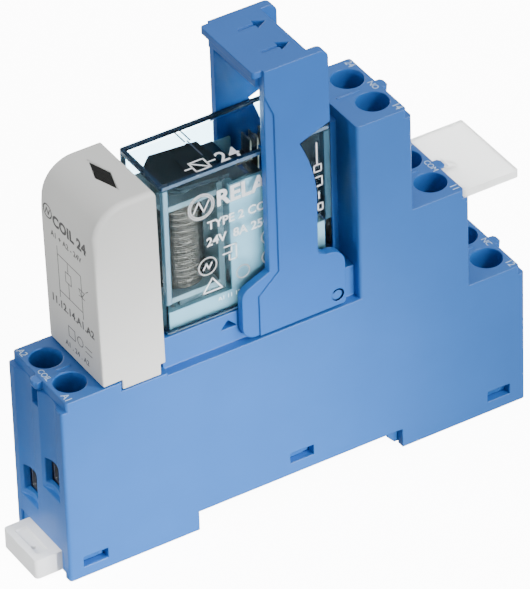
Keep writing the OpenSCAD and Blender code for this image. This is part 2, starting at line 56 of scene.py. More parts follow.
TAG_HOOK_REACH = 0.5            # the coil end's hook stands this far out of its face
COIL_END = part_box("socket_housing")[0].x / MM + TAG_HOOK_REACH
RECORD = frame["record"]
BODY_OF = {node: body for body, nodes in RECORD["behaviour"]["bodies"].items() for node in nodes}


def at(x, y, z):
    """A place in mm, counted from the coil end face, the middle plane and the feet."""
    return Vector(((COIL_END + x) * MM, y * MM, z * MM))


def box_mm(node):
    """Low and high corner of a CAD node in mm, counted as at() counts."""
    low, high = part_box(node)
    shift = Vector((COIL_END, 0, 0))
    return low / MM - shift, high / MM - shift


# ---------- materials ----------


class Nodes:
    """A material being built: short calls for the nodes that this script uses."""

    def __init__(self, name):
        self.material = bpy.data.materials.new(name)
        self.material.use_nodes = True
        self.tree = self.material.node_tree
        self.shader = self.tree.nodes["Principled BSDF"]
        self.coords = self.tree.nodes.new("ShaderNodeTexCoord").outputs["Object"]

    def set(self, **values):
        for key, value in values.items():
            self.shader.inputs[key.replace("_", " ")].default_value = value

    def link(self, output, key):
        self.tree.links.new(output, self.shader.inputs[key])

    def scaled(self, factors):
        node = self.tree.nodes.new("ShaderNodeMapping")
        node.inputs["Scale"].default_value = factors
        self.tree.links.new(self.coords, node.inputs["Vector"])
        return node.outputs["Vector"]

    def noise(self, scale, detail, vector=None):
        node = self.tree.nodes.new("ShaderNodeTexNoise")
        node.inputs["Scale"].default_value = scale
        node.inputs["Detail"].default_value = detail
        self.tree.links.new(vector or self.coords, node.inputs["Vector"])
        return node.outputs["Fac"]

    def wave(self, scale, direction, distortion):
        node = self.tree.nodes.new("ShaderNodeTexWave")
        node.bands_direction = direction
        node.inputs["Scale"].default_value = scale
        node.inputs["Distortion"].default_value = distortion
        self.tree.links.new(self.coords, node.inputs["Vector"])
        return node.outputs["Fac"]

    def ramp(self, factor, stops):
        node = self.tree.nodes.new("ShaderNodeValToRGB")
        elements = node.color_ramp.elements
        while len(elements) < len(stops):
            elements.new(0.5)
        for element, (position, colour) in zip(elements, stops):
            element.position = position
            element.color = (*colour, 1)
        self.tree.links.new(factor, node.inputs["Fac"])
        return node.outputs["Color"]

    def spread(self, factor, low, high):
        node = self.tree.nodes.new("ShaderNodeMapRange")
        node.inputs["To Min"].default_value = low
        node.inputs["To Max"].default_value = high
        self.tree.links.new(factor, node.inputs["Value"])
        return node.outputs["Result"]

    def mix(self, factor, a, b):
        node = self.tree.nodes.new("ShaderNodeMix")
        node.data_type = "RGBA"
        for socket, value in (("Factor", factor), ("A", a), ("B", b)):
            target = [s for s in node.inputs if s.name == socket and s.enabled][0]
            if isinstance(value, bpy.types.NodeSocket):
                self.tree.links.new(value, target)
            elif isinstance(value, (int, float)):
                target.default_value = value
            else:
                target.default_value = (*value, 1)
        return [s for s in node.outputs if s.enabled][0]

    def bump(self, height, strength, distance, below=None):
        node = self.tree.nodes.new("ShaderNodeBump")
        node.inputs["Strength"].default_value = strength
        node.inputs["Distance"].default_value = distance
        self.tree.links.new(height, node.inputs["Height"])
        if below is not None:
            self.tree.links.new(below, node.inputs["Normal"])
        return node.outputs["Normal"]

    def soft_edge(self, radius):
        """A normal that rounds off every edge by a radius in mm."""
        node = self.tree.nodes.new("ShaderNodeBevel")
        node.samples = 6
        node.inputs["Radius"].default_value = radius * MM
        return node.outputs["Normal"]


def moulded(name, colour, tint, rough, grain=0.5, gloss=0.45, edge=0.32, glow=0.0):
    """Fine-grained moulded plastic, a little cloudy in colour and sheen.

    tint is how much the colour varies, grain how deep the skin is, gloss the mirror share, edge the
    softness of its edges in mm, and glow the share of light that passes through.
    """
    m = Nodes(name)
    cloud = m.noise(90, 3)
    dark = [c * (1 - tint) for c in colour]
    light = [min(1, c * (1 + tint)) for c in colour]
    m.link(m.ramp(cloud, [(0.3, dark), (0.7, light)]), "Base Color")
    m.link(m.spread(m.noise(420, 2), rough - 0.05, rough + 0.06), "Roughness")
    fine = m.bump(m.noise(5200, 1), 0.16 * grain, 0.00004, m.soft_edge(edge))
    m.link(m.bump(m.noise(1400, 2), 0.10 * grain, 0.0001, fine), "Normal")
    m.set(Specular_IOR_Level=gloss, Transmission_Weight=glow)
    return m.material


def metal(name, colour, rough, brushed=None, stain=0.15):
    """Plated or bare metal; brushed gives the direction of its fine lines."""
    m = Nodes(name)
    stained = [c * (1 - stain) for c in colour]
    m.link(m.ramp(m.noise(260, 4), [(0.35, stained), (0.65, colour)]), "Base Color")
    m.set(Metallic=1.0)
    m.link(m.spread(m.noise(700, 3), rough - 0.07, rough + 0.1), "Roughness")
    if brushed:
        lines = m.noise(1, 2, m.scaled([60 if axis in brushed else 6000 for axis in "xyz"]))
        m.link(m.bump(lines, 0.25, 0.00003), "Normal")
    else:
        m.link(m.bump(m.noise(2600, 2), 0.12, 0.00003), "Normal")
    return m.material


def clear_plastic(name, colour, rough=0.03, ior=1.32):
    m = Nodes(name)
    m.set(Base_Color=(*colour, 1), Transmission_Weight=1.0, IOR=ior, Specular_IOR_Level=0.5)
    m.link(m.spread(m.noise(160, 2), rough, rough + 0.03), "Roughness")
    m.link(m.bump(m.noise(70, 2), 0.03, 0.0002), "Normal")
    return m.material


def printed_ink(name, colour):
    """Pad-printed ink: slightly patchy and mottled at its edges."""
    m = Nodes(name)
    thin = [c * 0.86 for c in colour]
    m.link(m.ramp(m.noise(2400, 3), [(0.35, thin), (0.6, colour)]), "Base Color")
    m.set(Roughness=0.55)
    m.link(m.bump(m.noise(6000, 1), 0.1, 0.00002), "Normal")
    return m.material


def wound_copper(name):
    """Fine lacquered wire, laid in level turns round an upright core, with painted shade between the turns
    and a painted highlight on their tops.
    """
    m = Nodes(name)
    # Colours along a turn: painted shade between turns, the flank, and a painted highlight on top.
    gap_painted_shade, flank, crest_painted_highlight = (0.025, 0.016, 0.012), (0.13, 0.084, 0.064), (0.31, 0.21, 0.16)
    turns = m.wave(1150, "Z", 1.2)
    shade = m.ramp(turns, [(0.0, gap_painted_shade), (0.5, flank), (1.0, crest_painted_highlight)])
    dull = m.mix(0.5, shade, (0.12, 0.08, 0.062))
    m.link(m.mix(m.noise(300, 3), shade, dull), "Base Color")
    m.set(Metallic=1.0, Roughness=0.26)
    m.link(m.bump(turns, 0.5, 0.00005), "Normal")
    return m.material


FLOOR_BRIGHTNESS = 11.0         # emission of the floor, which is seen but doesn't light the part


def studio_floor(name):
    """A matt white sweep, bright of itself so that it comes out near white without lighting the part."""
    m = Nodes(name)
    m.link(m.ramp(m.noise(3, 2), [(0.3, (0.93, 0.93, 0.93)), (0.7, (0.95, 0.95, 0.95))]), "Base Color")
    m.set(Roughness=0.9, Specular_IOR_Level=0.1)
    m.set(Emission_Color=(1, 1, 1, 1), Emission_Strength=FLOOR_BRIGHTNESS)
    return m.material


BLUE = (0.022, 0.125, 0.42)
MATERIALS = {
    "blue": moulded("blue_polyamide", BLUE, 0.035, 0.42),
    "blue_clip": moulded("blue_clip_plastic", (0.018, 0.120, 0.43), 0.03, 0.38, 0.35),
    "white": moulded("white_acetal", (0.86, 0.87, 0.88), 0.01, 0.36, 0.4, glow=0.22),
    "tag": moulded("white_tag_plastic", (0.86, 0.87, 0.86), 0.01, 0.6, 0.3, edge=0.1, glow=0.6),
    "grey": moulded("grey_module_plastic", (0.60, 0.605, 0.59), 0.02, 0.5, 1.0),
    "pale": moulded("pale_relay_base", (0.27, 0.42, 0.47), 0.03, 0.4, 0.3, edge=0.1),
    "bobbin": moulded("bobbin_nylon", (0.23, 0.27, 0.28), 0.03, 0.35, 0.3, edge=0.1),
    # card is darkened to paint the shade that the clip casts over the actuator card.
    "card": moulded("card_painted_shade", (0.05, 0.09, 0.11), 0.03, 0.45, 0.3, edge=0.08),
    "black": moulded("black_epoxy", (0.02, 0.02, 0.022), 0.1, 0.35, 0.5),
    "resistor": moulded("resistor_lacquer", (0.30, 0.50, 0.58), 0.03, 0.25, 0.2),
    "board": moulded("board_lacquer", (0.03, 0.17, 0.07), 0.1, 0.3, 0.4),
    "zinc": metal("zinc_plate", (0.66, 0.68, 0.70), 0.32),
    "tin": metal("tin_plate", (0.74, 0.75, 0.76), 0.28, "z"),
    "brass": metal("contact_brass", (0.72, 0.50, 0.20), 0.30, "x"),
    "bronze": metal("spring_bronze", (0.42, 0.33, 0.24), 0.34, "z"),
    "iron": moulded("soft_iron", (0.055, 0.085, 0.09), 0.1, 0.4, 0.6, 0.3, 0.06),
    "armature": moulded("blackened_iron", (0.004, 0.012, 0.016), 0.1, 0.5, 0.4, 0.1, 0.06),
    # slate colours the barrier's cap and the dark plate at the cover's far end, which is painted shade.
    "slate": moulded("slate_insulation_and_painted_shade", (0.025, 0.05, 0.07), 0.06, 0.6, 0.4, 0.0, 0.06),
    "copper": wound_copper("wound_copper"),
    "cover": clear_plastic("tinted_cover", (0.58, 0.73, 0.80), ior=1.12),
    "rim": moulded("cover_edge_tint", (0.010, 0.030, 0.065), 0.1, 0.25, 0.2, 0.35, 0.1),
    "post": moulded("cover_post", (0.05, 0.12, 0.17), 0.05, 0.2, 0.2, 0.6, 0.1),
    "seam": printed_ink("cover_seam", (0.015, 0.035, 0.07)),
    # groove is a dark line that paints the shade in a pressed groove.
    "groove": printed_ink("groove_painted_shade", (0.010, 0.035, 0.14)),
    "lens": clear_plastic("dark_lens", (0.055, 0.07, 0.05), 0.08, 1.45),
    "led": clear_plastic("led_epoxy", (0.62, 0.90, 0.60), 0.1, 1.5),
    "white_ink": printed_ink("white_ink", (0.86, 0.89, 0.92)),
    "cap_ink": printed_ink("cap_ink", (0.50, 0.66, 0.86)),
    "grey_ink": printed_ink("grey_ink", (0.085, 0.085, 0.085)),
    "floor": studio_floor("studio_floor"),
}


# ---------- building blocks ----------


def new_object(name, mesh, material, body, smooth=True):
    thing = bpy.data.objects.new(name, mesh)
    bpy.context.scene.collection.objects.link(thing)
    mesh.materials.clear()
    mesh.materials.append(MATERIALS[material])
    for polygon in mesh.polygons:
        polygon.use_smooth = smooth
    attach(thing, body)
    return thing


def finish_mesh(bm, name):
    bmesh.ops.recalc_face_normals(bm, faces=bm.faces)
    mesh = bpy.data.meshes.new(name)
    bm.to_mesh(mesh)
    bm.free()
    return mesh


def weighted(thing):
    modifier = thing.modifiers.new("weighted_normals", "WEIGHTED_NORMAL")
    modifier.keep_sharp = True
    modifier.weight = 80


def sharp_edges(bm, degrees):
    limit = math.radians(degrees)
    return [e for e in bm.edges if len(e.link_faces) == 2 and e.calc_face_angle(0) > limit]


WELD = 0.003                    # corners nearer than this are one corner
FLAT_DEGREES = 1.0              # faces closer in angle than this are one face
SHARP_DEGREES = 28              # an edge that turns more than this gets rounded


def refined(node, material, width, wide=(), wide_width=0.45, segments=2):
    """A CAD node's shape with its edges rounded. wide holds tests for the edges that are rounder."""
    source = frame["nodes"][node]
    bm = bmesh.new()
    bm.from_mesh(source.data)
    bmesh.ops.remove_doubles(bm, verts=bm.verts, dist=WELD * MM)
    bmesh.ops.dissolve_limit(bm, angle_limit=math.radians(FLAT_DEGREES), verts=bm.verts, edges=bm.edges)
    weight = bm.edges.layers.float.new("bevel_weight_edge")
    shift = Vector((COIL_END * MM, 0, 0))
    for edge in sharp_edges(bm, SHARP_DEGREES):
        a, b = [(v.co - shift) / MM for v in edge.verts]
        edge[weight] = 1.0 if any(test(a, b) for test in wide) else width / wide_width
    name = node + "_looks"
    thing = new_object(name, finish_mesh(bm, name), material, BODY_OF[node])
    bevel = thing.modifiers.new("rounded_edges", "BEVEL")
    bevel.limit_method = "WEIGHT"
    bevel.width = wide_width * MM
    bevel.segments = segments
    bevel.use_clamp_overlap = True
    bevel.harden_normals = False
    weighted(thing)
    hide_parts(node)


def loft(rings):
    """A closed bmesh through rings of points, each a list of the same length."""
    bm = bmesh.new()
    made = [[bm.verts.new(point) for point in ring] for ring in rings]
    count = len(rings[0])
    for lower, upper in zip(made, made[1:]):
        for i in range(count):
            j = (i + 1) % count
            bm.faces.new((lower[i], lower[j], upper[j], upper[i]))
    bm.faces.new(list(reversed(made[0])))
    bm.faces.new(made[-1])
    return bm


def rounded_rectangle(cx, cy, half_x, half_y, radius, z, steps=5):
    """Points of a rounded rectangle in a level plane, in mm."""
    points = []
    for corner, (sx, sy) in enumerate(((1, 1), (-1, 1), (-1, -1), (1, -1))):
        for i in range(steps + 1):
            angle = math.radians(90 * corner + 90 * i / steps)
            x = cx + sx * (half_x - radius) + radius * math.cos(angle)
            y = cy + sy * (half_y - radius) + radius * math.sin(angle)
            points.append(at(x, y, z))
    return points


def curve_to_mesh(name, curve, material, body, matrix):
    helper = bpy.data.objects.new(name + "_curve", curve)
    bpy.context.scene.collection.objects.link(helper)
    helper.matrix_world = matrix
    bpy.context.view_layer.update()
    evaluated = helper.evaluated_get(bpy.context.evaluated_depsgraph_get())
    mesh = bpy.data.meshes.new_from_object(evaluated)
    mesh.transform(helper.matrix_world)
    mesh.name = name
    bpy.data.objects.remove(helper)
    return new_object(name, mesh, material, body)


def axes_matrix(origin, right, up):
    """A matrix whose x is right, y is up and z is out of the printed face."""
    right, up = Vector(right).normalized(), Vector(up).normalized()
    out = right.cross(up)
    matrix = Matrix((right, up, out)).transposed().to_4x4()
    matrix.translation = origin
    return matrix


INK_LIFT = 0.012                # printed ink stands this far off its surface
INK_DEPTH = 0.012
CAPITAL_HEIGHT = 0.72           # a capital's height as a share of the font size


def lettering(name, words, place, right, up, height, material, body, spacing=1.0, weight=0.0):
    """Words printed on a face, centred on a place in mm, as a thin raised mesh."""
    curve = bpy.data.curves.new(name, "FONT")
    curve.body = words
    curve.size = height * MM / CAPITAL_HEIGHT
    curve.align_x = "CENTER"
    curve.align_y = "CENTER"
    curve.space_character = spacing
    curve.offset = weight * MM
    curve.extrude = INK_DEPTH * MM / 2
    curve.resolution_u = 3
    matrix = axes_matrix(at(*place), right, up)
    matrix.translation += matrix.to_3x3() @ Vector((0, 0, INK_LIFT * MM))
    return curve_to_mesh(name, curve, material, body, matrix)


def line_art(name, strokes, place, right, up, width, material, body):
    """Printed lines: each stroke is a list of (across, upwards) points in mm from place."""
    matrix = axes_matrix(at(*place), right, up)
    bm = bmesh.new()
    for stroke in strokes:
        for (ax, ay), (bx, by) in zip(stroke, stroke[1:]):
            along = Vector((bx - ax, by - ay, 0))
            if along.length == 0:
                continue
            step = along.normalized() * width / 2
            side = Vector((-step.y, step.x, 0))
            a, b = Vector((ax, ay, 0)) - step, Vector((bx, by, 0)) + step
            low, high = INK_LIFT - INK_DEPTH / 2, INK_LIFT + INK_DEPTH / 2
            rings = []
            for z in (low, high):
                lift = Vector((0, 0, z))
                corners = (a + side, a - side, b - side, b + side)
                rings.append([bm.verts.new(matrix @ ((corner + lift) * MM)) for corner in corners])
            for i in range(4):
                j = (i + 1) % 4
                bm.faces.new((rings[0][i], rings[0][j], rings[1][j], rings[1][i]))
            bm.faces.new(rings[1])
            bm.faces.new(list(reversed(rings[0])))
    return new_object(name, finish_mesh(bm, name), material, body, smooth=False)


# ---------- socket ----------

SCREW_INSET = 4.05              # from a tier's end face to its screws
SCREW_Y = 3.45                  # from the middle plane to each screw
HOLE_R = 2.55                   # screwdriver hole
TIER_PITCH = 9.75
LOW_END = box_mm("socket_housing")[1].x - TAG_HOOK_REACH

# Each tier: end face, way out of its wires, cap top, function, front and rear terminal
TIERS = [
    (0.0, -1, 32.8, "COIL", "A1", "A2"),
    (LOW_END - 2 * TIER_PITCH, 1, 61.9, "NO", "14", "24"),
    (LOW_END - TIER_PITCH, 1, 43.4, "COM", "11", "21"),
    (LOW_END, 1, 25.4, "NC", "12", "22"),
]
TERMINALS = [name.lower() for tier in TIERS for name in tier[4:]]

LEVEL_SLACK = 0.03              # an edge this near to a cap's height is on the cap
CAP_REACH = 5.2                 # a cap's outline is within this of its screws
RIM_X, RIM_Y = 0.3, 0.2         # clear of a hole's rim by this much


def on_cap_outline(a, b):
    """True for an edge of a cap's outer outline, but not for the rim of a screwdriver hole."""
    for end, way, top, *_ in TIERS:
        middle = end - way * SCREW_INSET
        if all(abs(p.z - top) < LEVEL_SLACK and abs(p.x - middle) < CAP_REACH for p in (a, b)):
            return all(
                abs(p.y) > SCREW_Y + HOLE_R + RIM_Y or abs(p.x - middle) > HOLE_R + RIM_X for p in (a, b)
            )
    return False


LABEL_INSET = 1.75              # from a tier's end face to its prints
WAY_LABEL_Y = 6.45
WAY_LABEL_HEIGHT = 1.2
FUNCTION_HEIGHT = 1.0


def print_tier(end, way, top, function, front, rear):
    """The function of a tier between its two way numbers."""
    labels = (
        (function, 0, FUNCTION_HEIGHT),
        (front, -WAY_LABEL_Y, WAY_LABEL_HEIGHT),
        (rear, WAY_LABEL_Y, WAY_LABEL_HEIGHT),
    )
    for word, y, height in labels:
        name = f"print_{word.lower()}_{y:+.0f}".replace("+", "p").replace("-", "m")
        place = (end - way * LABEL_INSET, y, top)
        lettering(name, word, place, (0, -1, 0), (1, 0, 0), height, "cap_ink", "socket", 0.92)


def make_socket():
    refined("socket_housing", "blue", 0.16, [on_cap_outline], 0.42)
    refined("socket_cover", "blue", 0.12, wide_width=0.2)
    for tier in TIERS:
        print_tier(*tier)
    for name in TERMINALS:
        refined(f"contact_strip_{name}", "brass", 0.06, wide_width=0.1)
        refined(f"clamp_cage_{name}", "zinc", 0.1, wide_width=0.15)
        refined(f"terminal_screw_{name}", "zinc", 0.1, wide_width=0.15)


# ---------- clip, catch, tag ----------

CLIP_PIVOT = (47.3, 33.3)
PIVOT_MARK_R = 0.95             # radius of the ring pressed round each pivot, drawn as a dark line of painted shade


def arc(cx, cy, radius, start, end, steps=20):
    """Points of an arc from one angle to another, in degrees."""
    angles = [math.radians(start + (end - start) * i / steps) for i in range(steps + 1)]
    return [(cx + radius * math.cos(a), cy + radius * math.sin(a)) for a in angles]


def make_clip():
    refined("retaining_clip", "blue_clip", 0.16, wide_width=0.3)
    low, high = box_mm("retaining_clip")
    # The pressed ring round each pivot is drawn as a dark ink line, painted shade.
    mark = [arc(0, 0, PIVOT_MARK_R, -140, 140)]
    for side, y in ((-1, low.y), (1, high.y)):
        name = f"clip_pivot_mark_{side}".replace("-", "m")
        place = (CLIP_PIVOT[0], y, CLIP_PIVOT[1])
        line_art(name, mark, place, (-side, 0, 0), (0, 0, 1), 0.24, "groove", "clip")


def make_catch_and_tag():
    refined("rail_catch", "white", 0.2, wide_width=0.3)
    refined("marker_tag", "tag", 0.08, wide_width=0.15)


# ---------- indicator module ----------

SIDE_SLACK = 0.05               # an edge this near to the side face is on it
FOOT_HEIGHT = 2.5               # edges lower than this on the case stay sharper


def make_module():
    low, high = box_mm("module_case")

    def side_outline(a, b):
        """True for an edge round a side of the case, above its foot."""
        return all(abs(p.y) > high.y - SIDE_SLACK for p in (a, b)) and min(a.z, b.z) > low.z + FOOT_HEIGHT

    refined("module_case", "grey", 0.2, [side_outline], 0.95, segments=4)
    refined("module_window", "lens", 0.08, wide_width=0.12)
    materials = {
        "module_base": "grey",
        "module_pins": "tin",
        "module_board": "board",
        "module_led": "led",
        "module_diode": "black",
        "module_resistor": "resistor",
    }
    for node, material in materials.items():
        refined(node, material, 0.08, wide_width=0.15)
    print_module()


MODULE_FACE = ((7.2, 33.1), (6.8, 58.6))      # the face with the prints, from its foot to its crown


def on_module_face(y, z):
    (x0, z0), (x1, z1) = MODULE_FACE
    return x0 + (x1 - x0) * (z - z0) / (z1 - z0), y, z


def print_module():
    """Words and a wiring diagram on the coil end face of the module."""
    right = (0, -1, 0)
    up = (MODULE_FACE[1][0] - MODULE_FACE[0][0], 0, MODULE_FACE[1][1] - MODULE_FACE[0][1])
    words = [
        ("module_word", "COIL 24", -0.6, 56.3, 1.85, 0.11),
        ("module_voltage", "A1 + A2 - 24V", 0.6, 53.6, 1.0, 0.02),
        ("module_numbers", "11.12.14.A1.A2", 0.0, 41.4, 1.35, 0.05),
        ("module_small", "A1 . 24 . A2", -0.6, 35.0, 0.95, 0.02),
    ]
    for name, text, y, z, size, weight in words:
        place = on_module_face(y, z)
        lettering("print_" + name, text, place, right, up, size, "grey_ink", "module", 1.05, weight)
    ring = [arc(0, 0, 1.15, 0, 360), [(-0.6, -0.4), (-0.2, 0.5), (0.2, -0.5), (0.6, 0.4)]]
    line_art("print_module_ring", ring, on_module_face(5.5, 57.0), right, up, 0.22, "grey_ink", "module")
    diagram = [
        [(-3.2, 4.6), (-3.2, -4.6)],
        [(-3.2, 3.2), (3.4, 3.2), (3.4, -3.4)],
        [(-3.2, -3.4), (3.4, -3.4)],
        [(-0.4, 3.2), (-0.4, 1.2)],
        [(-1.2, 1.2), (0.4, 1.2), (0.4, -0.6), (-1.2, -0.6), (-1.2, 1.2)],
        [(-0.4, -0.6), (-0.4, -3.4)],
        [(2.6, 0.5), (4.2, 0.5), (3.4, -0.7), (2.6, 0.5)],
        [(2.6, -0.7), (4.2, -0.7)],
        [(4.6, 0.9), (5.3, 1.5)],
        [(3.4, -3.4), (3.4, -4.6)],
    ]
    place = on_module_face(0.2, 47.4)
    line_art("print_module_diagram", diagram, place, right, up, 0.13, "grey_ink", "module")
    signs = [
        [(-2.0, -1.0), (-0.2, -1.0), (-0.2, 0.8), (-2.0, 0.8), (-2.0, -1.0)],
        arc(1.3, -0.1, 0.8, 0, 360, 14),
        [(2.8, -0.9), (4.6, -0.9)],
        [(2.8, 0.0), (4.6, 0.0)],
    ]
    line_art("print_module_signs", signs, on_module_face(-0.4, 37.8), right, up, 0.14, "grey_ink", "module")


# ---------- relay ----------

TURNS = 42
RINGS_A_TURN = 7
WINDING_SIDES = 48
GROOVE_DEPTH = 0.13             # between one turn of wire and the next


def make_winding():
    """The coil, with its turns of wire as fine grooves."""
    low, high = box_mm("coil_winding")
    centre_x, radius = (low.x + high.x) / 2, (high.x - low.x) / 2
    angles = [2 * math.pi * k / WINDING_SIDES for k in range(WINDING_SIDES)]
    steps = TURNS * RINGS_A_TURN
    rings = []
    for i in range(steps + 1):
        phase = (i % RINGS_A_TURN) / RINGS_A_TURN * 2 * math.pi
        here = radius - GROOVE_DEPTH * (0.5 + 0.5 * math.cos(phase))
        z = low.z + (high.z - low.z) * i / steps
        rings.append([at(centre_x + here * math.cos(a), here * math.sin(a), z) for a in angles])
    winding = new_object("coil_turns", finish_mesh(loft(rings), "coil_turns"), "copper", "relay")
    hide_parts("coil_winding")


def ring_band(name, outline_low, outline_high, inset, z, material, body):
    """A square-cut band that follows a rounded rectangle."""
    centre = (outline_low + outline_high) / 2
    half = (outline_high - outline_low) / 2
    bm = bmesh.new()
    loops = []
    for grow, level in ((-inset[0], z[0]), (-inset[0], z[1]), (-inset[1], z[1]), (-inset[1], z[0])):
        points = rounded_rectangle(centre.x, centre.y, half.x + grow, half.y + grow, CORNER_R, level)
        loops.append([bm.verts.new(p) for p in points])
    count = len(loops[0])
    for k in range(4):
        a, b = loops[k], loops[(k + 1) % 4]
        for i in range(count):
            j = (i + 1) % count
            bm.faces.new((a[i], a[j], b[j], b[i]))
    return new_object(name, finish_mesh(bm, name), material, body, smooth=False)


SKIN = 0.12                     # a tinted part of the cover starts this far under its surface
COVER_WALL = 0.75
CORNER_R = 0.4                  # of the tinted bands
TOP_BAND_INSET = 0.14           # under the cover's top
FOOT_BAND_Z = (0.1, 0.4)        # above the cover's foot


def make_relay():
    low, high = box_mm("relay_cover")
    refined("relay_cover", "cover", 0.25, wide_width=0.5, segments=3)
    walls = (SKIN, COVER_WALL)
    top_band = (high.z - COVER_WALL, high.z - TOP_BAND_INSET)
    foot_band = [low.z + rise for rise in FOOT_BAND_Z]
    ring_band("cover_top_tint", low, high, walls, top_band, "rim", "relay")
    ring_band("cover_foot_tint", low, high, walls, foot_band, "rim", "relay")
    refined("relay_base", "pale", 0.1, wide_width=0.2)
    refined("coil_bobbin", "bobbin", 0.12, wide_width=0.25)
    make_winding()
    materials = {
        "coil_core": "iron",
        "coil_pins": "tin",
        "yoke": "iron",
        "armature": "armature",
        "armature_spring": "armature",
        "actuator_card": "card",
        "moving_spring_front": "bronze",
        "moving_spring_rear": "bronze",
        "break_contacts": "bronze",
        "make_contacts": "bronze",
    }
    for node, material in materials.items():
        refined(node, material, 0.03, wide_width=0.06)
    make_cover_details(low, high)
    print_relay_top(high)
    print_relay_front(low.y)


def slab(name, x, y, z, material, body, edge=0.08):
    """A plate between x, y and z limits, with every edge rounded."""
    bm = bmesh.new()
    bmesh.ops.create_cube(bm, size=1)
    for vert in bm.verts:
        vert.co = at(*(span[0] if c < 0 else span[1] for c, span in zip(vert.co, (x, y, z))))
    bmesh.ops.bevel(bm, geom=bm.edges[:], offset=edge * MM, segments=2, profile=0.5, affect="EDGES")
    thing = new_object(name, finish_mesh(bm, name), material, body)
    weighted(thing)
    return thing


POST_X = (0.15, 1.15)           # corner posts and barrier, counted from the cover's coil end
POST_DEPTH = 0.85
POST_FOOT = 41.6
BARRIER_X = (12.7, 15.1)
BARRIER_INSET_Y = (1.6, 1.05)   # at the front and the rear
BARRIER_CAP_Z = (58.32, 58.55)
FAR_SHADE_THICKNESS = 1.25
FAR_SHADE_FOOT = 46.2
UNDER_TOP = 0.9                 # posts and the far shade plate stop this far under the cover's top
RIB_X = 28.4


def make_cover_details(low, high):
    """Corner posts, a dark plate at the far end that paints the shade seen there, the barrier's cap and the
    slim rib under the top.
    """
    top = high.z - UNDER_TOP
    for side, place in ((-1, "front"), (1, "rear")):
        face = high.y * side
        x = [low.x + across for across in POST_X]
        y = sorted((face - side * SKIN, face - side * POST_DEPTH))
        slab(f"cover_post_{place}", x, y, (POST_FOOT, top), "post", "relay", 0.15)
    shade_x = (high.x - FAR_SHADE_THICKNESS, high.x - SKIN)
    shade_y = (low.y + SKIN, high.y - SKIN)
    # A dark plate inside the cover's far end: painted shade where the relay's inside shows dark.
    slab("relay_far_shade_plate", shade_x, shade_y, (FAR_SHADE_FOOT, top), "slate", "relay")
    barrier_x = [low.x + across for across in BARRIER_X]
    barrier_y = (low.y + BARRIER_INSET_Y[0], high.y - BARRIER_INSET_Y[1])
    slab("barrier_cap", barrier_x, barrier_y, BARRIER_CAP_Z, "slate", "relay")
    rib = [
        arc(0, 4.5, 0.45, 0, 180, 8),
        [(-0.45, 4.5), (-0.45, 1.9)],
        [(0.45, 4.5), (0.45, 1.9)],
        [(0, 1.9), (0, -2.2)],
    ]
    line_art("cover_rib", rib, (RIB_X, 0, high.z), (1, 0, 0), (0, 1, 0), 0.26, "seam", "relay")


COIL_SYMBOL_PLACE = (26.8, -4.2)
COIL_VOLTAGE_PLACE = (31.5, -4.3)


def print_relay_top(high):
    """The coil symbol and its voltage on the top of the cover."""
    across, along = (1, 0, 0), (0, 1, 0)
    coil = [
        [(-1.2, -1.15), (1.2, -1.15), (1.2, 1.15), (-1.2, 1.15), (-1.2, -1.15)],
        [(-1.2, 1.15), (1.2, -1.15)],
        [(-2.4, 0), (-1.2, 0)],
        [(1.2, 0), (2.5, 0)],
    ]
    place = (*COIL_SYMBOL_PLACE, high.z)
    line_art("print_coil_symbol", coil, place, across, along, 0.27, "white_ink", "relay")
    place = (*COIL_VOLTAGE_PLACE, high.z)
    lettering("print_coil_voltage", "24", place, across, along, 2.5, "white_ink", "relay", 1.1, 0.05)


PRINT_START = (25.7, 57.0)      # middle of the big ring on the cover's front, as x and z
EDGE_SIGNS_START = (45.35, 57.8)
FRONT_LINE = 0.24               # width of a printed line


def print_relay_front(y):
    """Generic words, rings and contact signs on the front of the cover."""
    right, up = (1, 0, 0), (0, 0, 1)
    signs = [
        arc(0, 0, 2.15, 0, 360),
        arc(0, 0, 1.85, 0, 360),
        [(-1.3, -0.7), (-0.4, 1.0), (0.4, -1.0), (1.3, 0.7)],
        arc(0.7, -10.9, 1.5, 0, 360),
        [(0.0, -11.3), (0.5, -10.4), (0.9, -11.4), (1.4, -10.5)],
        [(3.4, -9.9), (4.8, -9.9), (4.8, -9.1)],
        [(3.6, -8.7), (5.6, -8.7), (5.6, -11.3), (4.4, -11.3), (4.4, -10.4)],
        [(-0.2, -15.6), (3.0, -15.6), (1.4, -13.3), (-0.2, -15.6)],
        arc(6.6, -14.2, 1.1, 0, 360),
        arc(11.2, -9.6, 1.3, 0, 360),
        arc(11.2, -13.2, 1.3, 0, 360),
    ]
    edge_signs = [
        [(0.0, -1.0), (0.0, 2.7)],
        [(-0.5, -2.4), (0.7, -2.4), (0.7, -1.2), (-0.5, -1.2), (-0.5, -2.4)],
        [(-0.2, -3.4), (0.8, -3.4), (0.8, -5.0), (0.0, -5.0)],
        [(0.2, -6.2), (0.2, -7.2)],
        [(0.0, -8.2), (0.8, -8.2), (0.8, -9.4), (0.0, -9.4), (0.0, -8.2)],
    ]
    # words, place across and up from the big ring, height, extra weight
    rows = [
        ("RELAY", 7.9, 0.2, 2.7, 0.13),
        ("TYPE 2 CO", 5.9, -3.9, 1.5, 0.05),
        ("24V  8A 250V", 6.6, -6.8, 1.5, 0.05),
        ("A1 11 12 14 A2", 5.6, -17.6, 0.75, 0.0),
    ]
    edge_x, edge_z = EDGE_SIGNS_START
    x, z = PRINT_START
    line_art("print_edge_signs", edge_signs, (edge_x, y, edge_z), right, up, FRONT_LINE, "white_ink", "relay")
    line_art("print_signs", signs, (x, y, z), right, up, FRONT_LINE, "white_ink", "relay")
    for i, (words, across, rise, height, weight) in enumerate(rows):
        place = (x + across, y, z + rise)
        lettering(f"print_row_{i}", words, place, right, up, height, "white_ink", "relay", 1.0, weight)


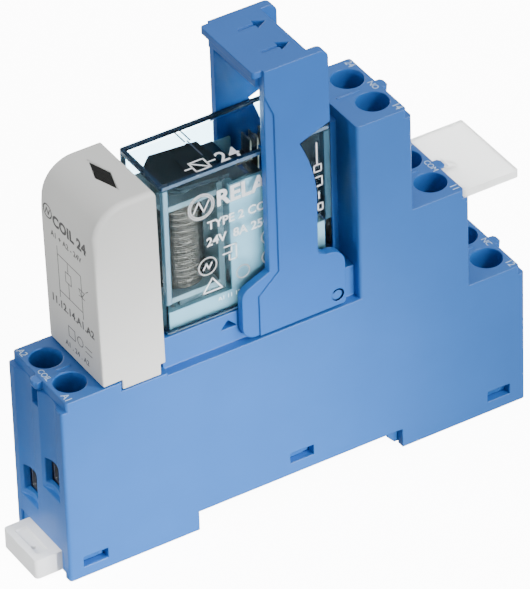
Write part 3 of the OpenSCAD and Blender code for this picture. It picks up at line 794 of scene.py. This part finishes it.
# ---------- stage ----------

FLOOR_HALF = 3                  # in metres
FLOOR_DROP = 0.0002             # in metres, so that the feet never share its plane


def make_floor():
    """A pale sweep that shows to the camera and through the cover, but lights nothing."""
    bm = bmesh.new()
    bmesh.ops.create_grid(bm, x_segments=1, y_segments=1, size=FLOOR_HALF)
    mesh = finish_mesh(bm, "floor")
    floor = bpy.data.objects.new("floor", mesh)
    floor.location.z = -FLOOR_DROP
    bpy.context.scene.collection.objects.link(floor)
    mesh.materials.append(MATERIALS["floor"])
    floor.visible_diffuse = False
    floor.visible_glossy = False


def aimed(name, light, azimuth, elevation, distance, target):
    """Stands a light round its target. Azimuth 0 is the front, and +90 is the wire end of the tiers."""
    thing = bpy.data.objects.new(name, light)
    bpy.context.scene.collection.objects.link(thing)
    a, e = math.radians(azimuth), math.radians(elevation)
    way = Vector((math.sin(a) * math.cos(e), -math.cos(a) * math.cos(e), math.sin(e)))
    thing.location = target + way * distance
    thing.rotation_euler = (-way).to_track_quat("-Z", "Y").to_euler()


def area_light(name, azimuth, elevation, distance, size, power, target):
    light = bpy.data.lights.new(name, "AREA")
    light.shape = "DISK"
    light.size = size
    light.energy = power
    aimed(name, light, azimuth, elevation, distance, target)


def spot_light(name, azimuth, elevation, cone, power, target):
    light = bpy.data.lights.new(name, "SPOT")
    light.shadow_soft_size = SMALL_LIGHT_SOFTNESS
    light.spot_size = math.radians(cone)
    light.spot_blend = 1.0
    light.energy = power
    aimed(name, light, azimuth, elevation, SMALL_LIGHT_DISTANCE, target)


# name, azimuth, elevation, distance, size, power
SOFT_LIGHTS = [
    ("key", 12, 12, 0.8, 0.5, 4.5),
    ("glint", 26, 6, 0.8, 0.1, 1.4),
    ("edges", 34, 44, 0.8, 0.12, 4.3),
    ("left_fill", -85, 20, 0.8, 0.5, 0.55),
    ("top", 150, 65, 0.8, 0.5, 1.2),
    ("back_fill", 180, 12, 0.8, 0.5, 2.6),
]
# name, azimuth, elevation, cone in degrees, power, target in millimetres
SMALL_LIGHTS = [
    ("low_left", 10, 6, 10.5, 27, (19, 0, 6)),
    ("module_end", -75, 10, 5.5, 9, (6.8, 0, 54)),
    ("catch", -78, 42, 3.0, 60, (-6, 0, -1)),
]
SMALL_LIGHT_DISTANCE = 0.6
SMALL_LIGHT_SOFTNESS = 0.02
WORLD_STRENGTH = 0.55


def make_lights():
    middle = at(40, 0, 35)
    for name, azimuth, elevation, distance, size, power in SOFT_LIGHTS:
        area_light(name, azimuth, elevation, distance, size, power, middle)
    for name, azimuth, elevation, cone, power, target in SMALL_LIGHTS:
        spot_light(name, azimuth, elevation, cone, power, at(*target))
    world = bpy.data.worlds.new("studio")
    bpy.context.scene.world = world
    world.use_nodes = True
    background = world.node_tree.nodes["Background"]
    background.inputs["Color"].default_value = (1, 1, 1, 1)
    background.inputs["Strength"].default_value = WORLD_STRENGTH


CAMERA_AZIMUTH = -30.6          # towards the coil end, seen from the front
CAMERA_ELEVATION = 36.75
CAMERA_ROLL = -1.87
CAMERA_PLACE = (-349.6, -660.8, 608.2)
LENS = 397.0
SHIFT = (-0.0163, -0.036)


def make_camera():
    camera_data = bpy.data.cameras.new("camera")
    camera_data.lens = LENS
    camera_data.sensor_width = 36
    camera_data.sensor_fit = "AUTO"
    camera_data.shift_x, camera_data.shift_y = SHIFT
    camera_data.clip_start = 0.01
    camera = bpy.data.objects.new("camera", camera_data)
    bpy.context.scene.collection.objects.link(camera)
    a, e = math.radians(CAMERA_AZIMUTH), math.radians(CAMERA_ELEVATION)
    forward = Vector((-math.sin(a) * math.cos(e), math.cos(a) * math.cos(e), -math.sin(e)))
    level = forward.to_track_quat("-Z", "Y")
    roll = Matrix.Rotation(math.radians(CAMERA_ROLL), 3, "Z")
    camera.rotation_euler = (level.to_matrix() @ roll).to_euler()
    camera.location = at(*CAMERA_PLACE)
    bpy.context.scene.camera = camera


make_socket()
make_clip()
make_catch_and_tag()
make_module()
make_relay()
make_floor()
make_lights()
make_camera()
